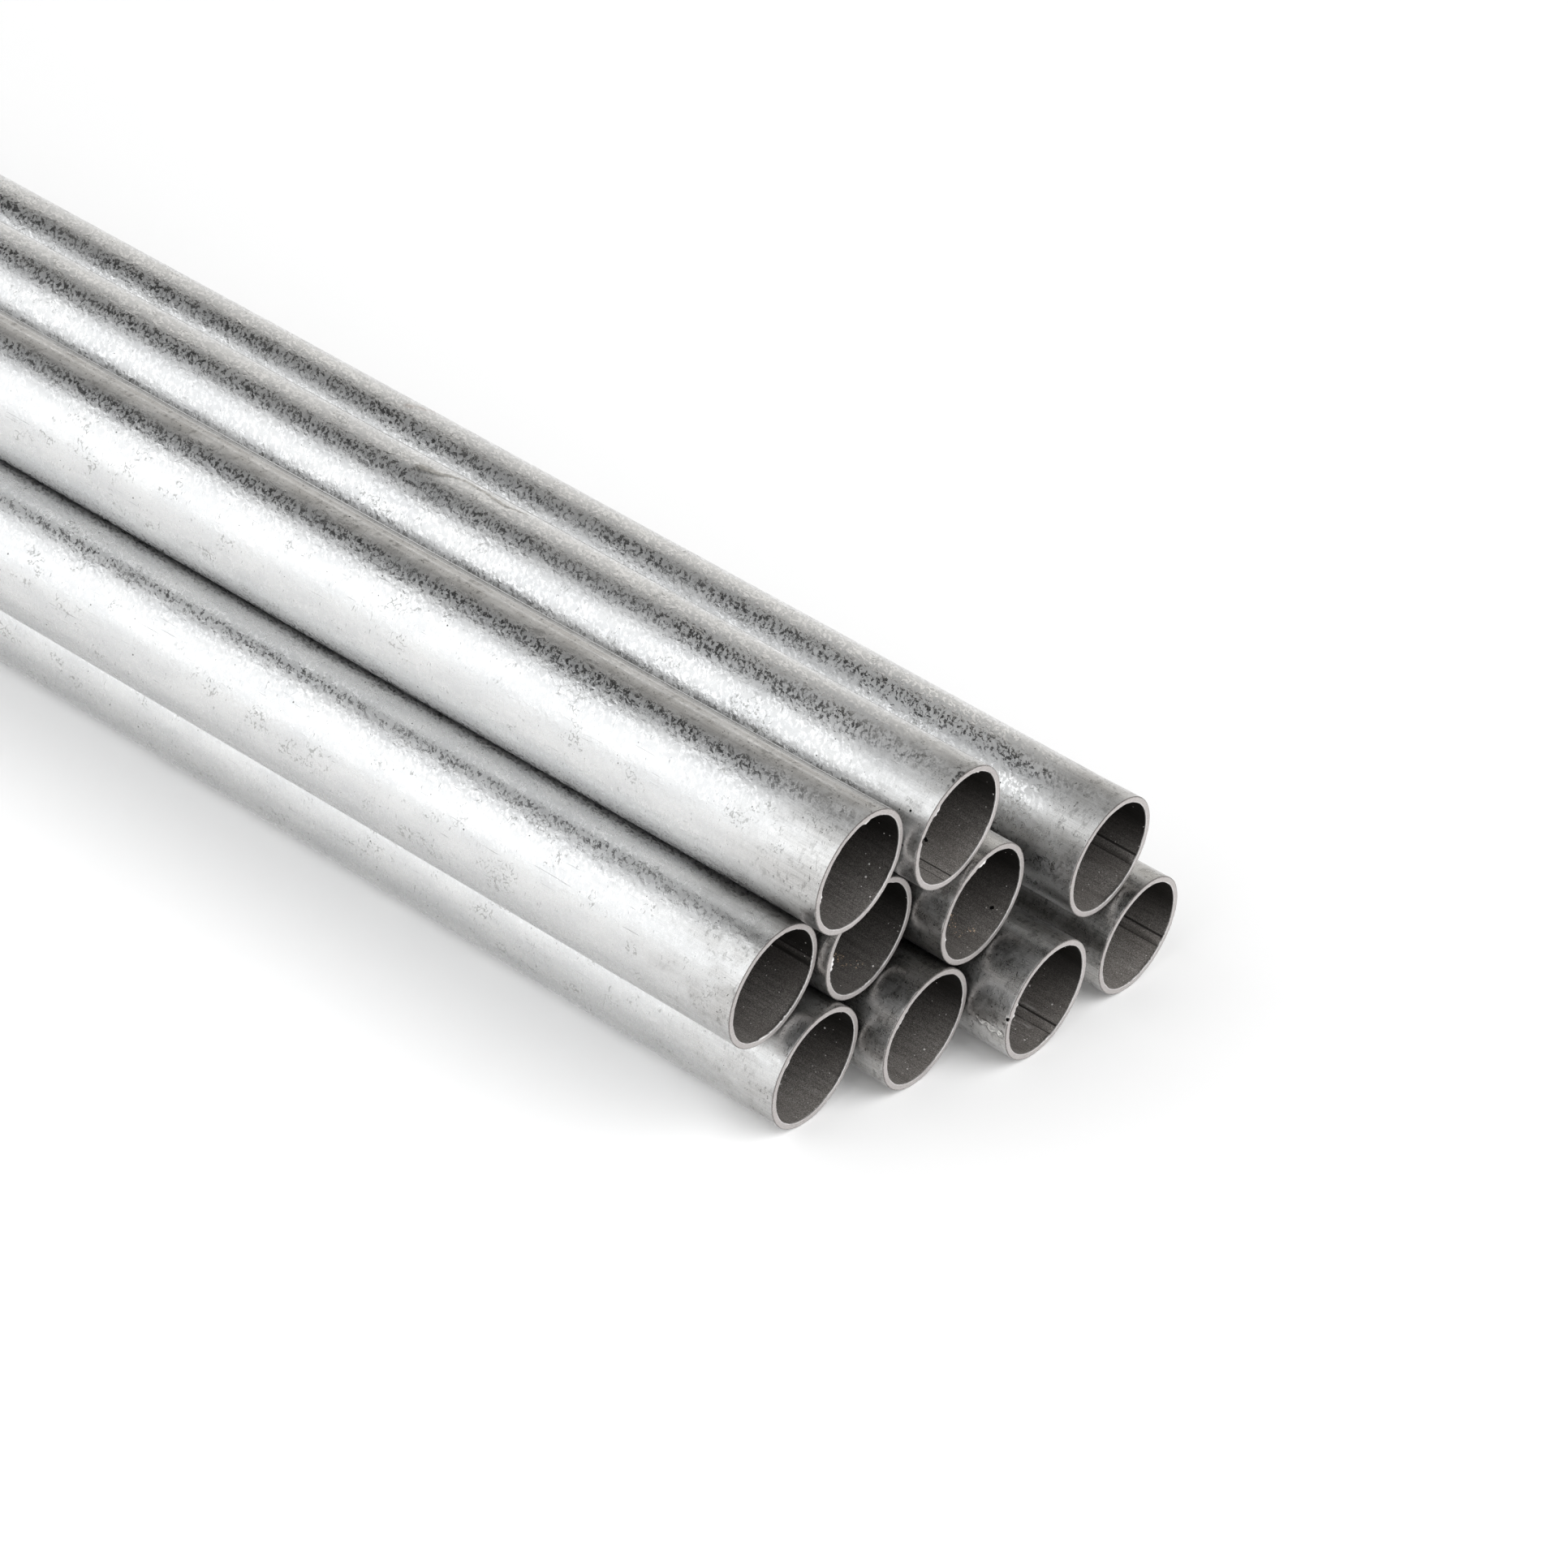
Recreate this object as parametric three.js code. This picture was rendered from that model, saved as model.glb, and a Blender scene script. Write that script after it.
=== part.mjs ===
// A stack of steel tubes: equal sawn lengths of welded tube that lie side by side and in the
// hollows between each other, with their ends a little out of line.
//
// Millimetres, +Z up. Every tube lies along X, and +Y runs across the stack. The origin is on
// the floor, under the middle of the stack's length and width.

import * as THREE from 'three';

// --- Driving dimensions ------------------------------------------------------------------

const OUTER_DIAMETER = 32;
const WALL = 1.5;
const LENGTH = 1000;

// The weld bead that runs along the inside of the bore, trimmed low.
const BEAD_WIDTH = 2.6;
const BEAD_HEIGHT = 0.3;

// Left between two tubes that lie against each other.
const TOUCH_CLEARANCE = 0.3;

// On the floor, the last tube has rolled clear of its neighbour by this much.
const OPEN_GAP = 7.7;

// Where the leaning tube lies against the last floor tube: degrees from +Y towards +Z.
const LEAN_ANGLE = 119.3;

// How far each tube's sawn end stands out in +X past the end of the first floor tube.
const END_OUT = {
  tube_bottom_1: 0,
  tube_bottom_2: 8,
  tube_bottom_3: 20.1,
  tube_bottom_4: 19.6,
  tube_middle_1: -5.4,
  tube_middle_2: -2.3,
  tube_middle_3: 7,
  tube_leaning: 15.6,
  tube_top_1: 1.3,
  tube_top_2: 5.4,
};

// Where each tube's weld bead lies around its bore: degrees from +Y towards +Z.
const BEAD_AT = {
  tube_bottom_1: 150,
  tube_bottom_2: 205,
  tube_bottom_3: 300,
  tube_bottom_4: 328,
  tube_middle_1: 0,
  tube_middle_2: 120,
  tube_middle_3: 75,
  tube_leaning: 332,
  tube_top_1: 170,
  tube_top_2: 272,
};

// Flats around a tube, a multiple of four, so that one flat is its lowest face.
const FLATS = 72;

// Points over the width of the weld bead.
const BEAD_STEPS = 6;

const ZINC = 0x9fa19f;

// --- Where the tubes lie -----------------------------------------------------------------

// A tube's place in the end view is a Vector2: x is across the stack, in +Y, and y is up.

const outerRadius = OUTER_DIAMETER / 2;
const boreRadius = outerRadius - WALL;
const pitch = OUTER_DIAMETER + TOUCH_CLEARANCE;

function onFloor(across) {
  return new THREE.Vector2(across, outerRadius);
}

// One pitch from both a and b, on the left of the way from a to b.
function inHollow(a, b) {
  const across = new THREE.Vector2().subVectors(b, a);
  const rise = Math.sqrt(pitch ** 2 - across.lengthSq() / 4);
  const left = new THREE.Vector2(-across.y, across.x).normalize();
  return new THREE.Vector2().addVectors(a, b).divideScalar(2).addScaledVector(left, rise);
}

function leaningOn(tube, degrees) {
  const angle = THREE.MathUtils.degToRad(degrees);
  return new THREE.Vector2(Math.cos(angle), Math.sin(angle)).multiplyScalar(pitch).add(tube);
}

function stackedPlaces() {
  const bottom1 = onFloor(0);
  const bottom2 = onFloor(bottom1.x + pitch);
  const bottom3 = onFloor(bottom2.x + pitch);
  const bottom4 = onFloor(bottom3.x + OUTER_DIAMETER + OPEN_GAP);
  const middle2 = inHollow(bottom1, bottom2);
  const middle3 = inHollow(bottom2, bottom3);
  // The first of the middle row overhangs: it lies on the outer shoulder of the first floor
  // tube and against its own neighbour.
  const middle1 = inHollow(bottom1, middle2);
  return {
    tube_bottom_1: bottom1,
    tube_bottom_2: bottom2,
    tube_bottom_3: bottom3,
    tube_bottom_4: bottom4,
    tube_middle_1: middle1,
    tube_middle_2: middle2,
    tube_middle_3: middle3,
    tube_leaning: leaningOn(bottom4, LEAN_ANGLE),
    tube_top_1: inHollow(middle1, middle2),
    tube_top_2: inHollow(middle2, middle3),
  };
}

// --- The tube ----------------------------------------------------------------------------

// The outside, as flats that touch the true circle at their middles.
function outsideOutline() {
  const halfFlat = Math.PI / FLATS;
  const cornerRadius = outerRadius / Math.cos(halfFlat);
  return new THREE.Shape().absarc(0, 0, cornerRadius, halfFlat, halfFlat + 2 * Math.PI);
}

// The bore: round, but for the low round back of the weld bead.
function boreOutline(beadAngle) {
  const halfBead = BEAD_WIDTH / 2 / boreRadius;
  const outline = new THREE.Path();
  outline.absarc(0, 0, boreRadius, beadAngle + halfBead, beadAngle - halfBead + 2 * Math.PI);
  for (let step = 1; step < BEAD_STEPS; step++) {
    const across = step / BEAD_STEPS;
    const angle = beadAngle + halfBead * (2 * across - 1);
    const radius = boreRadius - BEAD_HEIGHT * Math.sin(Math.PI * across);
    outline.lineTo(radius * Math.cos(angle), radius * Math.sin(angle));
  }
  return outline;
}

// One length of tube, drawn out of its section. The section's x and y become +Y and +Z, and
// the sawn end at its far end is at the mesh's own place.
function makeTube(name, place) {
  const section = outsideOutline();
  section.holes.push(boreOutline(THREE.MathUtils.degToRad(BEAD_AT[name])));
  const geometry = new THREE.ExtrudeGeometry(section, {
    depth: LENGTH,
    curveSegments: FLATS / 2,
    bevelEnabled: false,
  });
  const zinc = new THREE.MeshStandardMaterial({ color: ZINC, roughness: 0.4, metalness: 1 });
  const tube = new THREE.Mesh(geometry, zinc);
  tube.name = name;
  tube.rotation.set(Math.PI / 2, Math.PI / 2, 0);
  tube.position.set(END_OUT[name] - LENGTH, place.x, place.y);
  return tube;
}

// --- The stack ---------------------------------------------------------------------------

function makeStack() {
  const stack = new THREE.Group();
  for (const [name, place] of Object.entries(stackedPlaces())) {
    stack.add(makeTube(name, place));
  }
  const box = new THREE.Box3().setFromObject(stack);
  const middle = box.getCenter(new THREE.Vector3());
  stack.position.set(-middle.x, -middle.y, -box.min.z);
  return stack;
}

export default makeStack();
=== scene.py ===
"""The looks of a stack of zinc-coated steel tubes.

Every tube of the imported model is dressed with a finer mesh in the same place: a slightly
uneven outside, sawn ends with burrs, and a bare bore with its weld bead. The zinc, the sawn
steel and the bare steel are procedural materials. All lengths are in metres.
"""
import math

import bpy
import numpy as np
from mathutils import Matrix, Vector


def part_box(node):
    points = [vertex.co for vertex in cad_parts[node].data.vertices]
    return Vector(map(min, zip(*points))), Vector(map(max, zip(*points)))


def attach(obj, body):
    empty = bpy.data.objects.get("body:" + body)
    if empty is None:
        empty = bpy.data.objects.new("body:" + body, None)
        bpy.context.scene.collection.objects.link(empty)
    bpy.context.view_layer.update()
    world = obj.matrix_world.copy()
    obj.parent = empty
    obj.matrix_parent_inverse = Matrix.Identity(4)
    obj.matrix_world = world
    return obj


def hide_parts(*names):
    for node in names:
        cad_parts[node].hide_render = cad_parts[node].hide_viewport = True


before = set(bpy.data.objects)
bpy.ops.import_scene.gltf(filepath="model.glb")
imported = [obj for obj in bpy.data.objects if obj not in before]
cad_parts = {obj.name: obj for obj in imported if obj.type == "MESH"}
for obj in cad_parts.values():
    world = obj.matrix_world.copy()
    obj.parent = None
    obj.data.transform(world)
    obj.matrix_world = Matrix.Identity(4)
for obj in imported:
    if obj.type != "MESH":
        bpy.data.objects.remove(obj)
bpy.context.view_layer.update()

MM = 0.001
WHITE = (1, 1, 1, 1)

# --- What the frame says about a tube ----------------------------------------------------


class Tube:
    """A CAD tube's axis, ends, radii and weld bead, read from its node."""

    def __init__(self, name):
        low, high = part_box(name)
        middle = (low + high) / 2
        self.name = name
        self.far, self.near = low.x, high.x
        self.y, self.z = middle.y, middle.z
        self.outside = (high.z - low.z) / 2
        points = [vertex.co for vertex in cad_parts[name].data.vertices]
        across = np.array([(point.y - self.y, point.z - self.z) for point in points])
        radii = np.hypot(across[:, 0], across[:, 1])
        inner = radii < radii.mean()
        self.bore = float(np.median(radii[inner]))
        crest = int(np.argmin(radii))
        self.bead_height = self.bore - float(radii[crest])
        self.bead_angle = math.atan2(across[crest, 1], across[crest, 0])


tubes = [Tube(name) for name in sorted(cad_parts)]

# --- The tube's surface ------------------------------------------------------------------

# Points round a tube, and their angles from +Y. All curves over TURN have one value for each.
AROUND = 320
TURN = np.linspace(0, 2 * math.pi, AROUND, endpoint=False)
ZINC, SAWN, BARE = 0, 1, 2

# How light the bare steel of a bore is, and of the bores that aren't listed.
BORE_SHADE = {
    "tube_bottom_4": 1.20, "tube_leaning": 0.82, "tube_middle_1": 0.78, "tube_middle_2": 0.55,
    "tube_middle_3": 0.72, "tube_top_1": 0.70, "tube_top_2": 1.00,
}
BORE_SHADE_PLAIN = 0.92

BEAD_HALF_WIDTH = 1.3 * MM
# The cut lies this far inside the CAD end, so that its burr stays within it.
RIM_SETBACK = 0.25 * MM
# Where the outside and the bore begin beyond the cut.
OUTSIDE_INSET = 1.2 * MM
BORE_INSET = 1.0 * MM
# The first gap between two rings, and how much each next gap grows.
OUTSIDE_STEPS = (0.9 * MM, 1.28)
BORE_STEPS = (0.5 * MM, 1.16)
# A burr this high or more gets the full painted highlight.
BURR_HIGHLIGHT_FULL_AT = 0.3 * MM
# The spread of the outside's dents, and how far in from an end they are at their full depth.
DENT = 0.05 * MM
DENT_FADE = 12 * MM
# The spread of the bore's ripples, how fast they change along the tube in radians a metre, and
# the share of them that shows.
BORE_RIPPLE = 0.02 * MM
RIPPLE_RATE = 900
RIPPLE_SHARE = 0.25
# How the bead's height varies along the tube: by what share, radians a metre, and start.
BEAD_SWELLS = [(0.12, 2100, 0), (0.08, 5300, 1)]

# How dull each tube's ends are, and how far along it the dullness reaches.
END_DULL_PLAIN = (0.48, 30 * MM)
END_DULL = {
    "tube_bottom_2": (0.75, 60 * MM),
    "tube_bottom_3": (0.70, 60 * MM),
    "tube_bottom_4": (0.75, 60 * MM),
    "tube_middle_2": (0.75, 60 * MM),
    "tube_middle_3": (0.75, 60 * MM),
}
# How far the matt band on top of a tube reaches in from its ends, and where it lies round it.
END_MATT = {"tube_leaning": 90 * MM, "tube_top_1": 24 * MM, "tube_top_2": 55 * MM}
MATT_AT = math.radians(105)
MATT_SPREAD = math.radians(26)
# How much darker the zinc is low on the outside, and the degrees from +Y at which that sets
# in, is full, begins to fade and ends.
LOW_SIDE_DARK = {"tube_bottom_1": 0.28, "tube_middle_1": 0.26, "tube_top_1": 0.20}
LOW_SIDE_TURN = (150, 200, 218, 232)
# How far painted shade reaches from where two tubes touch, and how far in from the ends it is full.
CONTACT_SHADE_REACH = 2.8 * MM
CONTACT_SHADE_FULL_FROM = 26 * MM

# A hazy band along one tube: how dull it is, and where it lies.
HAZY_TUBE = "tube_top_1"
HAZE = 0.52
HAZE_AT = math.radians(81)
HAZE_SPREAD = math.radians(21)
# Lines drawn along the haze: degrees from +Y, half width in degrees, change in dullness.
HAZE_LINES = [
    (66, 1.8, 0.22), (72, 1.5, -0.38), (77, 1.8, 0.14), (82.5, 1.6, -0.26), (87, 2.0, 0.10),
]
# How the lines wander along the tube: by how much, in radians, and over what length.
HAZE_WANDER = [(0.012, 31 * MM), (0.007, 11 * MM)]

# Thin lines of painted shade along the zinc by its upper edge: degrees from +Y, half width in
# degrees.
SHADE_LINES = {"tube_top_1": (63.0, 2.2), "tube_top_2": (57.0, 4.5)}
# How dull the zinc is along the painted shade lines.
SHADE_LINE_DULLNESS = 0.75

# Torn burr on the near ends: degrees from +Y, spread in degrees, height in mm.
BURRS = {
    "tube_bottom_1": [(329, 7, 0.62), (150, 4, 0.30)],
    "tube_bottom_2": [(145, 12, 0.28), (3, 5, 0.28)],
    "tube_bottom_3": [(285, 7, 0.50), (165, 7, 0.50)],
    "tube_bottom_4": [(303, 8, 0.60), (283, 12, 0.30), (335, 4, 0.45)],
    "tube_leaning": [(290, 18, 0.75)],
    "tube_middle_1": [
        (2, 7, 0.65), (325, 14, 0.40), (296, 22, 0.75), (301, 8, 1.0), (275, 9, 1.0),
    ],
    "tube_middle_2": [(182, 6, 0.60), (278, 8, 0.36)],
    "tube_middle_3": [(120, 12, 0.50), (195, 6, 0.35)],
    "tube_top_1": [(96, 5, 0.40), (330, 7, 0.40), (183, 4, 0.45)],
    "tube_top_2": [(137, 5, 0.45), (78, 4, 0.28)],
}

# Flaps of burr bent over the near cut: degrees from +Y, half width in degrees, height in mm,
# and the share of the wall from the outside at which each one stands highest.
FLAPS = {
    "tube_middle_3": [
        (140.5, 4.6, 0.28, 0.40), (130.0, 3.6, 0.20, 0.50), (120.5, 6.2, 0.32, 0.64),
    ],
}
# How far over the wall a flap is thick, as a share of the wall.
FLAP_THICKNESS = 0.24

# Holes eaten into the near rims: degrees from +Y, half width in degrees, depth in mm.
OUTER_HOLE = {"tube_bottom_3": (174, 2.6, 0.55), "tube_top_2": (103, 4.0, 0.12)}
INNER_HOLE = {"tube_top_2": (168.5, 2.8, 0.55)}

# Runs of zinc that stand up: mm from the near end, degrees from +Y, half width in mm.
RUNS = {
    "tube_top_2": [
        (-165.0, 90.0, 1.5), (-160.5, 86.0, 0.9), (-158.5, 79.0, 0.75), (-155.0, 71.0, 0.7),
        (-149.5, 72.5, 0.7), (-141.6, 78.0, 0.65), (-136.0, 71.0, 0.3),
    ],
    "tube_bottom_3": [
        (-9.0, 187.0, 0.3), (-7.4, 190.0, 0.8), (-5.6, 188.5, 0.5), (-4.6, 191.5, 1.1),
        (-3.0, 189.5, 0.5), (-1.9, 192.5, 0.9),
    ],
}
RUN_HEIGHT = 0.13 * MM
# Rings stand this close together along the runs, and this far past them.
RUN_STEP = 0.5 * MM
RUN_MARGIN = 3.0 * MM


def waves(rng, first, last, size):
    """A closed random curve over TURN, from its harmonics, with a spread of about size."""
    orders = np.arange(first, last + 1)
    phases = rng.uniform(0, 2 * math.pi, len(orders))
    weights = rng.normal(size=len(orders)) / np.sqrt(orders)
    curve = np.cos(np.outer(TURN, orders) + phases) @ weights
    return curve * size / max(curve.std(), 1e-9)


def around(angle):
    """How far round each of TURN lies from an angle, in radians."""
    return np.abs(np.angle(np.exp(1j * (TURN - angle))))


def lumps(rng, count, width, height):
    """Separate bumps at random places over TURN."""
    curve = np.zeros(AROUND)
    for _ in range(count):
        offset = around(rng.uniform(0, 2 * math.pi))
        spread = width * rng.uniform(0.5, 1.6)
        curve += height * rng.uniform(0.3, 1.0) * np.exp(-((offset / spread) ** 2))
    return curve


def plateau(angle, half, slope):
    """1 over TURN within half of an angle, falling to 0 beyond it over slope, in radians."""
    return 1 / (1 + np.exp((around(angle) - half) / slope))


def rounded(angle, half):
    """A flat-topped bump over TURN, from its angle and half width in degrees, 0 to 1."""
    return np.exp(-((around(math.radians(angle)) / math.radians(half)) ** 4))


def strips(rng, zones):
    """Torn strips of burr over TURN within the zones, each with steep ends, on a low fringe."""
    curve = np.zeros(AROUND)
    for angle, spread, height in zones:
        fringe = 0.4 * height * MM * plateau(math.radians(angle), math.radians(spread), 0.02)
        curve = np.maximum(curve, fringe)
        for _ in range(5):
            place = math.radians(angle + spread * rng.uniform(-1, 1))
            half = math.radians(spread) * rng.uniform(0.12, 0.5)
            strip = height * MM * rng.uniform(0.35, 1.0) * plateau(place, half, 0.012)
            curve = np.maximum(curve, strip)
    return curve


def hole(place):
    """A rounded hole over TURN, from its place as angle, half width and depth."""
    if place is None:
        return np.zeros(AROUND)
    angle, half, depth = place
    return depth * MM * rounded(angle, half)


def run_rise(tube, x):
    """How much of its full height a run of zinc has over TURN at x, 0 to 1."""
    rise = np.zeros(AROUND)
    radius = tube.outside / MM
    path = [(complex(along, math.radians(angle) * radius), half)
            for along, angle, half in RUNS.get(tube.name, [])]
    for (start, first_half), (end, last_half) in zip(path, path[1:]):
        stretch = end - start
        here = (x - tube.near) / MM + 1j * TURN * radius - start
        part = np.clip((here * stretch.conjugate()).real / abs(stretch) ** 2, 0, 1)
        half = first_half + (last_half - first_half) * part
        rise = np.maximum(rise, 1 / (1 + (np.abs(here - part * stretch) / half) ** 6))
    return rise


def spaced(length, first, growth):
    """Distances from an end to the tube's middle, close together at the end."""
    steps = [0.0]
    step = first
    while steps[-1] + step < length / 2:
        steps.append(steps[-1] + step)
        step *= growth
    return np.array(steps)


def flap_rise(flaps, share):
    """How high the flaps stand off the cut over TURN, at a share of the wall from outside."""
    rise = np.zeros(AROUND)
    for angle, half, height, highest in flaps:
        along = plateau(math.radians(angle), math.radians(half), 0.018)
        across = math.exp(-(((share - highest) / FLAP_THICKNESS) ** 2))
        rise = np.maximum(rise, height * MM * along * across)
    return rise


def bead_profile(tube):
    """How far the weld bead stands into the bore over TURN."""
    return tube.bead_height * np.clip(1 - (from_bead(tube) / BEAD_HALF_WIDTH) ** 2, 0, None)


def sawn_end(tube, rng, zones, outer_hole=None, inner_hole=None, flaps=()):
    """One end's rings from the outside over the cut to the bore, as (inset, radius, part)."""
    wall = tube.outside - tube.bore
    # How uneven the cut's face is, then the torn burr, its lip and curl, and the rim's nicks.
    cut = np.abs(waves(rng, 1, 4, 0.04 * MM)) + np.abs(waves(rng, 8, 60, 0.015 * MM))
    torn = strips(rng, zones) * np.clip(1 + waves(rng, 14, 90, 0.40), 0.15, 1.5)
    lip = torn + np.abs(waves(rng, 12, 120, 0.035 * MM))
    curl = lumps(rng, 4, 0.07, 0.12 * MM) + np.minimum(0.5 * torn, 0.24 * MM)
    nick = lumps(rng, 5, 0.05, 0.12 * MM) + hole(outer_hole)
    outer = tube.outside - nick - np.abs(waves(rng, 3, 40, 0.02 * MM))
    inner = tube.bore + waves(rng, 2, 24, 0.035 * MM) - lip + hole(inner_hole)
    face = RIM_SETBACK + cut
    return [
        # Out of the outside and over its rim.
        (face + 0.45 * MM, np.full(AROUND, tube.outside), ZINC),
        (face + 0.20 * MM, tube.outside * 0.7 + outer * 0.3, ZINC),
        (face + 0.07 * MM, outer - 0.02 * MM, SAWN),
        # Over the cut, with the flaps that stand on it.
        (face - flap_rise(flaps, 0.06), outer - 0.09 * MM, SAWN),
        (face - 0.02 * MM - flap_rise(flaps, 0.3), outer - 0.3 * wall, SAWN),
        (face - 0.02 * MM - flap_rise(flaps, 0.5), outer * 0.5 + inner * 0.5, SAWN),
        (face - 0.01 * MM - 0.3 * curl - flap_rise(flaps, 0.78), inner + 0.22 * wall, SAWN),
        # Over the burr and the lip, and into the bore.
        (face - 0.8 * curl, inner + 0.09 * MM, SAWN),
        (face + 0.03 * MM - 0.6 * curl, inner + 0.02 * MM, SAWN),
        (face + 0.12 * MM, inner + 0.3 * lip, SAWN),
        (face + 0.30 * MM, tube.bore - 0.25 * lip, BARE),
    ]


def build_rings(tube, rng):
    """All rings of a tube in one closed round: outside, near cut, bore, far cut."""
    length = tube.near - tube.far
    outside_steps = spaced(length, *OUTSIDE_STEPS)
    bore_steps = spaced(length, *BORE_STEPS)
    near_end = sawn_end(tube, rng, BURRS[tube.name], OUTER_HOLE.get(tube.name),
                        INNER_HOLE.get(tube.name), FLAPS.get(tube.name, ()))
    far_zones = [(rng.uniform(0, 360), rng.uniform(4, 18), rng.uniform(0.2, 0.4)) for _ in range(3)]
    far_end = sawn_end(tube, rng, far_zones)
    oval = [waves(rng, 2, 3, DENT), waves(rng, 2, 3, DENT)]
    dents = [waves(rng, 3, 9, DENT * 0.4) for _ in range(5)]
    bead = bead_profile(tube)
    ripples = [waves(rng, 20, 70, BORE_RIPPLE) for _ in range(4)]

    def unevenness(x):
        """Shallow hollows over the outside that change along the tube and end at its ends."""
        part = (x - tube.far) / length
        fade = min(1.0, min(x - tube.far, tube.near - x) / DENT_FADE)
        drift = [math.sin(math.pi * (i + 1.3) * part * 3) for i in range(len(dents))]
        depth = oval[0] * (1 - part) + oval[1] * part
        depth = depth + sum(dent * share for dent, share in zip(dents, drift))
        return fade * (depth - DENT * 3)

    def bore_radius(x):
        """The bore with its rippled bead and a faint grain, both changing along the tube."""
        drift = [math.cos(RIPPLE_RATE * x * (i + 1) + i) for i in range(len(ripples))]
        grain = sum(ripple * share for ripple, share in zip(ripples, drift))
        crest = 1 + sum(share * math.sin(rate * x + start) for share, rate, start in BEAD_SWELLS)
        return tube.bore - bead * crest + RIPPLE_SHARE * grain

    rings = []
    near_side = tube.near - RIM_SETBACK
    far_side = tube.far + RIM_SETBACK
    outside_x = [near_side - OUTSIDE_INSET - step for step in outside_steps]
    outside_x += [far_side + OUTSIDE_INSET + step for step in outside_steps[::-1]]
    if tube.name in RUNS:
        run_x = [tube.near + point[0] * MM for point in RUNS[tube.name]]
        last = min(max(run_x) + RUN_MARGIN, near_side - OUTSIDE_INSET)
        outside_x += list(np.arange(min(run_x) - RUN_MARGIN, last, RUN_STEP))
    for x in sorted(outside_x):
        level = np.minimum(unevenness(x) + RUN_HEIGHT * run_rise(tube, x), 0)
        rings.append((np.full(AROUND, x), tube.outside + level, ZINC))
    for inset, radius, part in near_end:
        rings.append((tube.near - inset, radius, part))
    bore_x = [near_side - BORE_INSET - step for step in bore_steps]
    bore_x += [far_side + BORE_INSET + step for step in bore_steps[::-1]]
    for x in bore_x:
        rings.append((np.full(AROUND, x), bore_radius(x), BARE))
    for inset, radius, part in reversed(far_end):
        rings.append((tube.far + inset, radius, part))
    return rings


def store(mesh, name, values):
    """Keeps one value for each point of the mesh under a name that materials read."""
    attribute = mesh.attributes.new(name, "FLOAT", "POINT")
    attribute.data.foreach_set("value", values.astype(np.float32).ravel())


def from_bead(tube):
    """The distance over the bore from the bead's crest, over TURN."""
    return np.angle(np.exp(1j * (TURN - tube.bead_angle))) * tube.bore


def shelter(tube):
    """How close the surface lies to another tube over TURN, 1 where they touch."""
    nearest = np.full(AROUND, np.inf)
    for other in tubes:
        if other is not tube:
            across = tube.y + tube.outside * np.cos(TURN) - other.y
            above = tube.z + tube.outside * np.sin(TURN) - other.z
            nearest = np.minimum(nearest, np.hypot(across, above) - other.outside)
    return np.exp(-np.maximum(nearest, 0) / CONTACT_SHADE_REACH)


def shade_line(tube):
    """How strong the painted shade line along a tube is over TURN, 0 to 1."""
    if tube.name not in SHADE_LINES:
        return np.zeros(AROUND)
    return rounded(*SHADE_LINES[tube.name])


def to_end(tube, x):
    """The distance to the nearer end of the tube."""
    return np.minimum(x - tube.far, tube.near - x)


def by_ends(tube, x, reach):
    """1 at the ends of the tube, falling to 0 over about reach."""
    return np.exp(-((to_end(tube, x) / reach) ** 1.5))


def painted_shade(tube, x):
    """Painted shade where another tube is close, less by the ends, and the painted shade lines."""
    inside = np.clip(to_end(tube, x) / CONTACT_SHADE_FULL_FROM, 0, 1)
    sheltered = (0.35 + 0.65 * inside) * shelter(tube) ** (1 / (1 + 1.5 * inside))
    return np.maximum(sheltered, shade_line(tube))


def dullness(tube, x):
    """How dull the zinc is, 0 to 1: most by the ends, and over a hazy band and the painted shade
    lines.
    """
    most, reach = END_DULL.get(tube.name, END_DULL_PLAIN)
    dull = most * by_ends(tube, x, reach)
    if tube.name == HAZY_TUBE:
        haze = HAZE * np.exp(-((around(HAZE_AT) / HAZE_SPREAD) ** 4))
        wander = sum(size * np.sin(x / length) for size, length in HAZE_WANDER)
        for angle, half, change in HAZE_LINES:
            aside = (TURN - math.radians(angle) - wander) / math.radians(half)
            haze = haze + change * np.exp(-(aside**2))
        dull = np.maximum(dull, haze)
    dull = np.maximum(dull, SHADE_LINE_DULLNESS * shade_line(tube))
    return np.clip(dull, 0, 1)


def mattness(tube, x):
    """How matt the zinc is in the band on top by the ends, 0 to 1."""
    if tube.name not in END_MATT:
        return np.zeros_like(x)
    band = np.exp(-((around(MATT_AT) / MATT_SPREAD) ** 4))
    return band * by_ends(tube, x, END_MATT[tube.name])


def lightness(tube, parts):
    """How light the steel is in each ring: one value in the bore, and less low on the outside."""
    low = np.interp(np.degrees(TURN), LOW_SIDE_TURN, (0, 1, 1, 0))
    outside = 1 - LOW_SIDE_DARK.get(tube.name, 0.0) * low
    bore = np.full(AROUND, BORE_SHADE.get(tube.name, BORE_SHADE_PLAIN))
    return np.array([bore if part == BARE else outside for part in parts])


def store_all(mesh, tube, x, radius, parts):
    """Keeps all that the materials read, from the points' x and radius and the rings' parts."""
    wall = tube.outside - tube.bore
    store(mesh, "from_bead", np.tile(from_bead(tube) / MM, (len(parts), 1)))
    store(mesh, "across", np.clip((tube.outside - radius) / wall, 0, 1))
    store(mesh, "burr", np.clip((tube.bore - radius) / BURR_HIGHLIGHT_FULL_AT, 0, 1))
    store(mesh, "dull", dullness(tube, x))
    store(mesh, "painted_shade", painted_shade(tube, x))
    store(mesh, "matt", mattness(tube, x))
    store(mesh, "shade", lightness(tube, parts))
    store(mesh, "run", np.array([run_rise(tube, along.mean()) for along in x]))


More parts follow.
